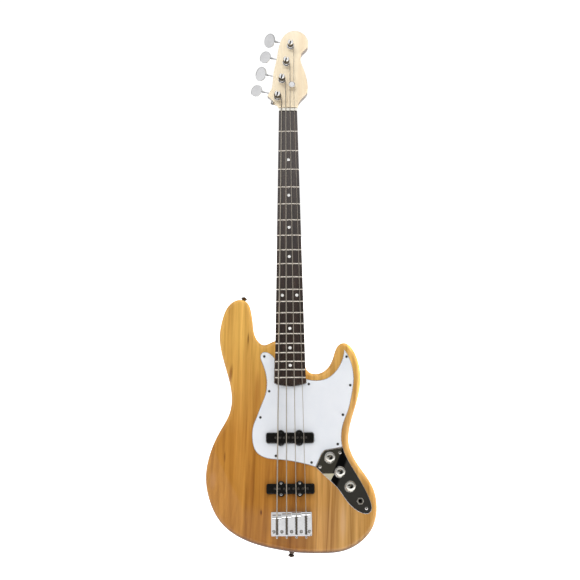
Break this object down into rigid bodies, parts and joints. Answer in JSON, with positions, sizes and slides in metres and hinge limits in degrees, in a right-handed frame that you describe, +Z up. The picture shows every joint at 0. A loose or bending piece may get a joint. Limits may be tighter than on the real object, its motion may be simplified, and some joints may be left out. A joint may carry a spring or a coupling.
{
  "type": "electric bass guitar",
  "caption": "Solid-body electric bass with a bolt-on neck, amber wood body, white pickguard, chrome control plate, barrel-saddle bridge and open-gear tuners.",
  "frame": {"origin": "seat of the tail strap button on the body's lower edge, at mid thickness of the body", "axes": "+Z up along the strings towards the headstock, +X to the side of the thinnest string, -Y out of the front with the strings"},
  "size_m": [0.3401, 0.0675, 1.1507],
  "materials": {
    "body_wood": "clear gloss lacquer over amber stained wood",
    "neck_maple": "satin lacquer on pale maple",
    "board_rosewood": "oiled dark rosewood",
    "guard_plastic": "white laminate with a bevelled grey edge",
    "black_plastic": "moulded black",
    "nut_bone": "polished pale bone substitute",
    "dot_pearl": "pearl",
    "fret_steel": "polished nickel steel",
    "string_steel": "round wound steel",
    "pole_steel": "ground magnet rod",
    "chrome_plate": "mirror",
    "screw_steel": "plated steel",
    "pot_alloy": "satin",
    "coil_tape": "enamelled wire under tape",
    "foam_rubber": "open foam",
    "lead_cloth": "cloth covered wire"
  },
  "bodies": {
    "instrument": {"body": "body_wood", "bridge_pickup_cover": "black_plastic", "bridge_plate": "chrome_plate", "bridge_screws": "screw_steel", "control_nuts": "chrome_plate", "control_plate": "chrome_plate", "control_plate_screws": "screw_steel", "control_wiring": "lead_cloth", "fingerboard": "board_rosewood", "frets": "fret_steel", "neck": "neck_maple", "neck_pickup_cover": "black_plastic", "neck_plate": "chrome_plate", "neck_screws": "screw_steel", "nut": "nut_bone", "output_jack": "pot_alloy", "pickguard": "guard_plastic", "pickguard_screws": "screw_steel", "pickup_coils": "coil_tape", "pickup_foams": "foam_rubber", "pickup_poles": "pole_steel", "pickup_screws": "screw_steel", "position_dots": "dot_pearl", "potentiometers": "pot_alloy", "saddle_spring_a": "screw_steel", "saddle_spring_d": "screw_steel", "saddle_spring_e": "screw_steel", "saddle_spring_g": "screw_steel", "strap_buttons": "chrome_plate", "string_a": "string_steel", "string_d": "string_steel", "string_e": "string_steel", "string_g": "string_steel", "string_tree": "chrome_plate", "truss_rod": "screw_steel", "tuner_bushings": "chrome_plate", "tuner_plates": "chrome_plate", "tuner_screws": "screw_steel"},
    "key_e": {"tuner_key_e": "chrome_plate"},
    "post_e": {"tuner_post_e": "chrome_plate"},
    "adjuster_e": {"intonation_screw_e": "screw_steel"},
    "saddle_e": {"saddle_e": "chrome_plate"},
    "key_a": {"tuner_key_a": "chrome_plate"},
    "post_a": {"tuner_post_a": "chrome_plate"},
    "adjuster_a": {"intonation_screw_a": "screw_steel"},
    "saddle_a": {"saddle_a": "chrome_plate"},
    "key_d": {"tuner_key_d": "chrome_plate"},
    "post_d": {"tuner_post_d": "chrome_plate"},
    "adjuster_d": {"intonation_screw_d": "screw_steel"},
    "saddle_d": {"saddle_d": "chrome_plate"},
    "key_g": {"tuner_key_g": "chrome_plate"},
    "post_g": {"tuner_post_g": "chrome_plate"},
    "adjuster_g": {"intonation_screw_g": "screw_steel"},
    "saddle_g": {"saddle_g": "chrome_plate"},
    "control_neck_volume": {"knob_neck_volume": "chrome_plate", "pot_shaft_neck_volume": "pot_alloy"},
    "control_bridge_volume": {"knob_bridge_volume": "chrome_plate", "pot_shaft_bridge_volume": "pot_alloy"},
    "control_tone": {"knob_tone": "chrome_plate", "pot_shaft_tone": "pot_alloy"}
  },
  "joints": [
    {"name": "key_e_turn", "type": "hinge", "parent": "instrument", "child": "key_e", "pos_m": [-0.01948, 0.00215, 0.98672], "axis": [-0.9732, 0, 0.23], "continuous": true},
    {"name": "post_e_turn", "type": "hinge", "parent": "instrument", "child": "post_e", "pos_m": [-0.0227, 0, 0.9731], "axis": [0, 1, 0], "continuous": true},
    {"name": "key_a_turn", "type": "hinge", "parent": "instrument", "child": "key_a", "pos_m": [-0.00959, 0.00215, 1.02857], "axis": [-0.9732, 0, 0.23], "continuous": true},
    {"name": "post_a_turn", "type": "hinge", "parent": "instrument", "child": "post_a", "pos_m": [-0.01281, 0, 1.01495], "axis": [0, 1, 0], "continuous": true},
    {"name": "key_d_turn", "type": "hinge", "parent": "instrument", "child": "key_d", "pos_m": [0.0003, 0.00215, 1.07042], "axis": [-0.9732, 0, 0.23], "continuous": true},
    {"name": "post_d_turn", "type": "hinge", "parent": "instrument", "child": "post_d", "pos_m": [-0.00292, 0, 1.05679], "axis": [0, 1, 0], "continuous": true},
    {"name": "key_g_turn", "type": "hinge", "parent": "instrument", "child": "key_g", "pos_m": [0.0102, 0.00215, 1.11226], "axis": [-0.9732, 0, 0.23], "continuous": true},
    {"name": "post_g_turn", "type": "hinge", "parent": "instrument", "child": "post_g", "pos_m": [0.00698, 0, 1.09864], "axis": [0, 1, 0], "continuous": true},
    {"name": "neck_volume_turn", "type": "hinge", "parent": "instrument", "child": "control_neck_volume", "pos_m": [0.0773, -0.02225, 0.1806], "axis": [0, -1, 0], "range_deg": [-150, 150]},
    {"name": "bridge_volume_turn", "type": "hinge", "parent": "instrument", "child": "control_bridge_volume", "pos_m": [0.0969, -0.02225, 0.1523], "axis": [0, -1, 0], "range_deg": [-150, 150]},
    {"name": "tone_turn", "type": "hinge", "parent": "instrument", "child": "control_tone", "pos_m": [0.1165, -0.02225, 0.124], "axis": [0, -1, 0], "range_deg": [-150, 150]},
    {"name": "adjuster_e_turn", "type": "hinge", "parent": "instrument", "child": "adjuster_e", "pos_m": [-0.0285, -0.03105, 0.03], "axis": [0, 0, 1], "range_deg": [-1440.5, 5760.5]},
    {"name": "saddle_e_slide", "type": "slide", "parent": "instrument", "child": "saddle_e", "axis": [0, 0, 1], "range_m": [-0.008, 0.002], "deforming": ["saddle_spring_e", "string_e"]},
    {"name": "adjuster_a_turn", "type": "hinge", "parent": "instrument", "child": "adjuster_a", "pos_m": [-0.0095, -0.03105, 0.03], "axis": [0, 0, 1], "range_deg": [-1440.5, 5760.5]},
    {"name": "saddle_a_slide", "type": "slide", "parent": "instrument", "child": "saddle_a", "axis": [0, 0, 1], "range_m": [-0.008, 0.002], "deforming": ["saddle_spring_a", "string_a"]},
    {"name": "adjuster_d_turn", "type": "hinge", "parent": "instrument", "child": "adjuster_d", "pos_m": [0.0095, -0.03105, 0.03], "axis": [0, 0, 1], "range_deg": [-1440.5, 5760.5]},
    {"name": "saddle_d_slide", "type": "slide", "parent": "instrument", "child": "saddle_d", "axis": [0, 0, 1], "range_m": [-0.008, 0.002], "deforming": ["saddle_spring_d", "string_d"]},
    {"name": "adjuster_g_turn", "type": "hinge", "parent": "instrument", "child": "adjuster_g", "pos_m": [0.0285, -0.03105, 0.03], "axis": [0, 0, 1], "range_deg": [-1440.5, 5760.5]},
    {"name": "saddle_g_slide", "type": "slide", "parent": "instrument", "child": "saddle_g", "axis": [0, 0, 1], "range_m": [-0.008, 0.002], "deforming": ["saddle_spring_g", "string_g"]}
  ],
  "couplings": [
    {"joint": "key_e_turn", "follows": "post_e_turn", "ratio": 20},
    {"joint": "key_a_turn", "follows": "post_a_turn", "ratio": 20},
    {"joint": "key_d_turn", "follows": "post_d_turn", "ratio": 20},
    {"joint": "key_g_turn", "follows": "post_g_turn", "ratio": 20},
    {"joint": "adjuster_e_turn", "follows": "saddle_e_slide", "rad_per_m": -12566},
    {"joint": "adjuster_a_turn", "follows": "saddle_a_slide", "rad_per_m": -12566},
    {"joint": "adjuster_d_turn", "follows": "saddle_d_slide", "rad_per_m": -12566},
    {"joint": "adjuster_g_turn", "follows": "saddle_g_slide", "rad_per_m": -12566}
  ]
}
